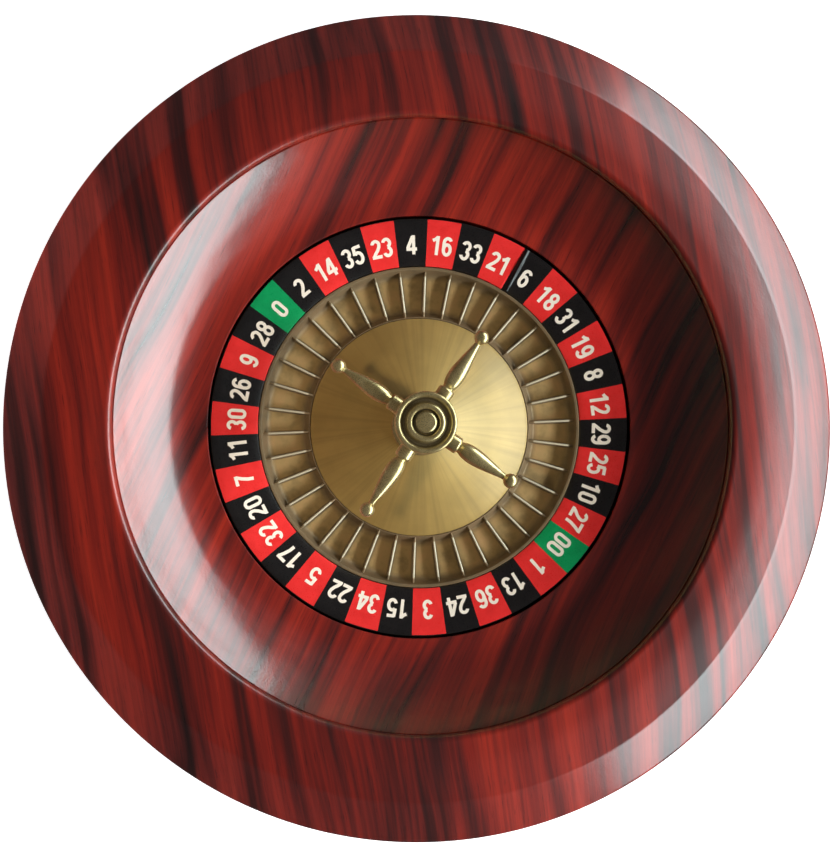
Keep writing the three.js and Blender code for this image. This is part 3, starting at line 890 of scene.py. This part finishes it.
def add_column(look):
    """The turret's post: a hollow in its foot, a flared ring on the cone, a bell, a bead and a neck."""
    seat = CONE_TOP + GAP
    flare = CONE_TOP_R + 1
    hollow_r, hollow_top = 8.4, 60
    step_r, step_top = 14.5, COLUMN_BOTTOM + 4.3
    bore_foot = BOLT_BOTTOM - GAP
    ring_top = (flare - 0.8, seat + 2.6)
    ring = eased(
        [(CONE_TOP_R - GAP, seat), (flare, seat, 0.3), (flare, seat + 2.1, 0.9), ring_top],
        closed=False,
    )
    bell = spline([ring_top, (13.4, seat + 3.6), (10.2, seat + 6.6), (8.5, seat + 11.5)], steps=6)
    bead = arc((7.7, 79.4), 2.2, -80, 80, 12)
    neck_top = (11.4, COLUMN_TOP - 1.4)
    neck = spline([(7.9, 82.3), (7.3, 85), (7.4, 87.6), (8.8, 90.8), neck_top], steps=5)
    top = eased(
        [neck_top, (11.9, COLUMN_TOP - 0.8, 0.3), (11.8, COLUMN_TOP, 0.2), (BOLT_BORE, COLUMN_TOP)],
        closed=False,
    )
    outline = [
        (0, hollow_top),
        (hollow_r, hollow_top),
        (hollow_r, step_top),
        (step_r, step_top),
        (step_r, COLUMN_BOTTOM),
        (CONE_TOP_R - GAP, COLUMN_BOTTOM),
        *ring,
        *bell[1:],
        (8.2, 77),
        *bead,
        *neck,
        *top[1:],
        (BOLT_BORE, bore_foot),
        (0, bore_foot),
    ]
    turret_piece("turret_post", outline, look, "turret_column")


def add_boss(look):
    """The drum that the arms screw into."""
    drum = 14.4
    outline = eased(
        [
            (BOLT_BORE, BOSS_BOTTOM),
            (11.8, BOSS_BOTTOM, 0.2),
            (12.4, BOSS_BOTTOM + 1.4, 0.5),
            (drum, BOSS_BOTTOM + 2.6, 0.8),
            (drum, BOSS_TOP - 2.6, 0.8),
            (12.8, BOSS_TOP - 1.2, 0.5),
            (12.6, BOSS_TOP, 0.2),
            (BOLT_BORE, BOSS_TOP),
        ]
    )
    turret_piece("turret_drum", outline, look, "turret_boss")


def add_cap(look):
    """The hub over the arms: two round rings with a groove between, and a well for the button."""
    outer_round = 1.75
    skirt_top = CAP_TOP - 2.9
    well_floor = CAP_TOP - 5
    skirt = eased(
        [
            (BOLT_BORE, CAP_BOTTOM),
            (16.4, CAP_BOTTOM, 0.6),
            (CAP_R, CAP_BOTTOM + 1.8, 0.8),
            (CAP_R, skirt_top),
        ],
        closed=False,
    )
    outer_ring = arc((CAP_R - outer_round, skirt_top), outer_round, 0, 155, 10)
    groove = arc((12.75, CAP_TOP - 2.3), 1.55, -25, -155, 8)
    inner_ring = arc((9.3, CAP_TOP - 1.9), 1.9, 15, 165, 12)
    outline = [
        *skirt,
        *outer_ring,
        *groove[1:-1],
        *inner_ring,
        (7.1, CAP_TOP - 2.2),
        (7.0, well_floor),
        (BOLT_BORE, well_floor),
    ]
    turret_piece("turret_hub", outline, look, "turret_cap")


def add_bolt(look):
    """The bolt down the turret, its head a round button in the hub."""
    shank, button = 3, 6
    shoulder = CAP_TOP - 4.7
    outline = eased(
        [
            (0, BOLT_BOTTOM),
            (shank, BOLT_BOTTOM, 0.3),
            (shank, shoulder),
            (button, shoulder),
            (button, BOLT_TOP - 1.1, 0.3),
            (button - 0.9, BOLT_TOP - 0.2, 0.4),
            (0, BOLT_TOP),
        ],
        closed=False,
    )
    turret_piece("turret_button", outline, look, "turret_bolt")


def add_arms(look):
    """Four turned arms, each a stud in the boss, a collar, a baluster and a ball.

    The outline is (radius, distance from the turret's axis). It is turned upright, then laid level.
    """
    stud, stud_end = 3, 8.5
    ball_r, ball_at = 4.3, 59.2
    start = BOSS_R + GAP
    collar = eased(
        [
            (stud, start),
            (4.6, start, 0.2),
            (5, start + 0.6, 0.3),
            (5, 22.9, 0.4),
            (4.5, 23.7, 0.3),
            (3.3, 24.1, 0.3),
        ],
        closed=False,
    )
    widening = [(3.5, 24.9), (4.4, 27), (5.02, 30.5), (5.1, 33.8)]
    narrowing = [(4.75, 38), (3.95, 43), (2.9, 48.2), (2.1, 52.2), (1.75, 54.9)]
    baluster = spline(widening + narrowing, steps=5)
    ball = arc((0, ball_at), ball_r, -66, 90, 16)[1:-1]
    outline = [(0, stud_end), (stud, stud_end), *collar, *baluster, *ball, (0, ball_at + ball_r)]
    for i in range(4):
        bm = bmesh.new()
        turned(bm, outline, SMALL)
        level = Matrix.Translation((0, 0, ARM_Z * MM)) @ Matrix.Rotation(TAU / 4, 4, "Y")
        placed(bm, bm.verts, Matrix.Rotation(ARM_ANGLE + i * TAU / 4, 4, "Z") @ level)
        piece(f"arm_{i + 1}", bm, "wheel_head", look, [f"turret_arm_{i + 1}"])


# ---------------------------------------------------------------- stage
def aimed(obj, place, aim):
    obj.location = place
    obj.rotation_euler = (Vector(aim) - Vector(place)).to_track_quat("-Z", "Y").to_euler()


def area_light(name, place, aim, size, power, glossy, colour=(1, 1, 1)):
    """A panel that lights either the gloss or the colours, so that each can be set alone."""
    light = bpy.data.lights.new(name, "AREA")
    light.shape = "RECTANGLE"
    light.size, light.size_y = size
    light.energy = power
    light.color = colour
    obj = new_object(name, light)
    aimed(obj, place, aim)
    obj.visible_camera = False
    obj.visible_glossy = glossy
    obj.visible_diffuse = not glossy


def add_head_spot():
    """A narrow warm light from above that lifts the left side of the wheel head."""
    light = bpy.data.lights.new("head_spot", "SPOT")
    light.energy = 66
    light.color = (1.0, 0.81, 0.57)
    light.spot_size = math.radians(9.0)
    light.spot_blend = 0.3
    light.shadow_soft_size = 0.1
    obj = new_object("head_spot", light)
    aimed(obj, place=(-0.65, 0, 1.7), aim=(-0.035, 0, 0.05))
    obj.visible_glossy = False


def add_lights():
    """A cool panel on the right for the gloss, one for the colours, and two weak ones for the left."""
    area_light(
        "window",
        place=(4.0, 0, 1.55),
        aim=(0, 0, 1.55),
        size=(12.4, 3.0),
        power=745,
        glossy=True,
        colour=(0.82, 0.98, 1.0),
    )
    area_light(
        "softbox",
        place=(4.1, -1.05, 2.5),
        aim=(0, 0, 0.05),
        size=(4.1, 0.8),
        power=395,
        glossy=False,
    )
    add_head_spot()
    area_light(
        "low_fill",
        place=(-2.0, 0, 0.06),
        aim=(0, 0, 0.06),
        size=(3.0, 0.1),
        power=38,
        glossy=False,
    )


def add_stage():
    """A floor, and a backdrop all round that the camera sees but that neither lights nor shades."""
    floor_bm, backdrop_bm = bmesh.new(), bmesh.new()
    bmesh.ops.create_grid(floor_bm, x_segments=1, y_segments=1, size=2)
    bmesh.ops.create_uvsphere(backdrop_bm, u_segments=48, v_segments=24, radius=8)
    floor = new_object("floor", finished_mesh("floor", floor_bm))
    backdrop = new_object("backdrop", finished_mesh("backdrop", backdrop_bm))
    white = plain_white()
    for obj in (floor, backdrop):
        obj.data.materials.append(white)
        obj.visible_glossy = False
    backdrop.visible_diffuse = False
    backdrop.visible_shadow = False
    world = bpy.data.worlds.new("studio")
    world.use_nodes = True
    background = world.node_tree.nodes["Background"].inputs
    background["Color"].default_value = (0.95, 0.96, 1.0, 1)
    background["Strength"].default_value = 0.045
    bpy.context.scene.world = world
    bpy.context.scene.view_settings.view_transform = "Standard"


def add_camera():
    """Nearly straight above, leaning a little to the left and the front, with +Y up in the picture."""
    lean_left, lean_front = math.radians(2.7), math.radians(1.7)
    aim = Vector((-0.0027, -0.0033, 0.05))
    height = 1.246  # above what it aims at
    back = Vector((-math.sin(lean_left), -math.sin(lean_front), 1)).normalized()
    right = Vector((0, 1, 0)).cross(back).normalized()
    up = back.cross(right)
    camera = bpy.data.cameras.new("camera")
    camera.lens = 87
    camera.sensor_width = 36
    camera.dof.use_dof = False
    obj = new_object("camera", camera)
    turn = Matrix((right, up, back)).transposed().to_4x4()
    obj.matrix_world = Matrix.Translation(aim + back * (height / back.z)) @ turn
    bpy.context.scene.camera = obj


# ---------------------------------------------------------------- build
add_camera()
add_stage()
add_lights()
steel = machined_steel()
board = black_board()
for node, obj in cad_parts.items():
    obj.data.materials.clear()
    obj.data.materials.append(board if node in ("base_board", "head_disc") else steel)
add_rim(mahogany("rim_mahogany", grain_degrees=99, figure_seed=3.1, lacquer=0.7, satin=0.25))
add_track(mahogany("bowl_mahogany", grain_degrees=65, figure_seed=8.4, lacquer=1.0, satin=0.19))
add_feet(moulded_rubber(), steel)
add_board_screws(steel)
add_head_disc(board)
green = printed("green_ink", (0.005, 0.34, 0.110), (0.004, 0.27, 0.085))
red = printed("red_ink", (0.80, 0.036, 0.035), (0.70, 0.026, 0.025))
black = printed("black_ink", (0.006, 0.005, 0.005), (0.010, 0.008, 0.008), gloss=0.85)
add_number_ring([green, red, black])
add_numerals(printed("cream_ink", (0.92, 0.88, 0.78), (0.86, 0.82, 0.72)))
add_pocket_ring(cast_brass())
add_cone(spun_brass())
turret = polished_brass()
add_column(turret)
add_boss(turret)
add_cap(turret)
add_bolt(turret)
add_arms(turret)
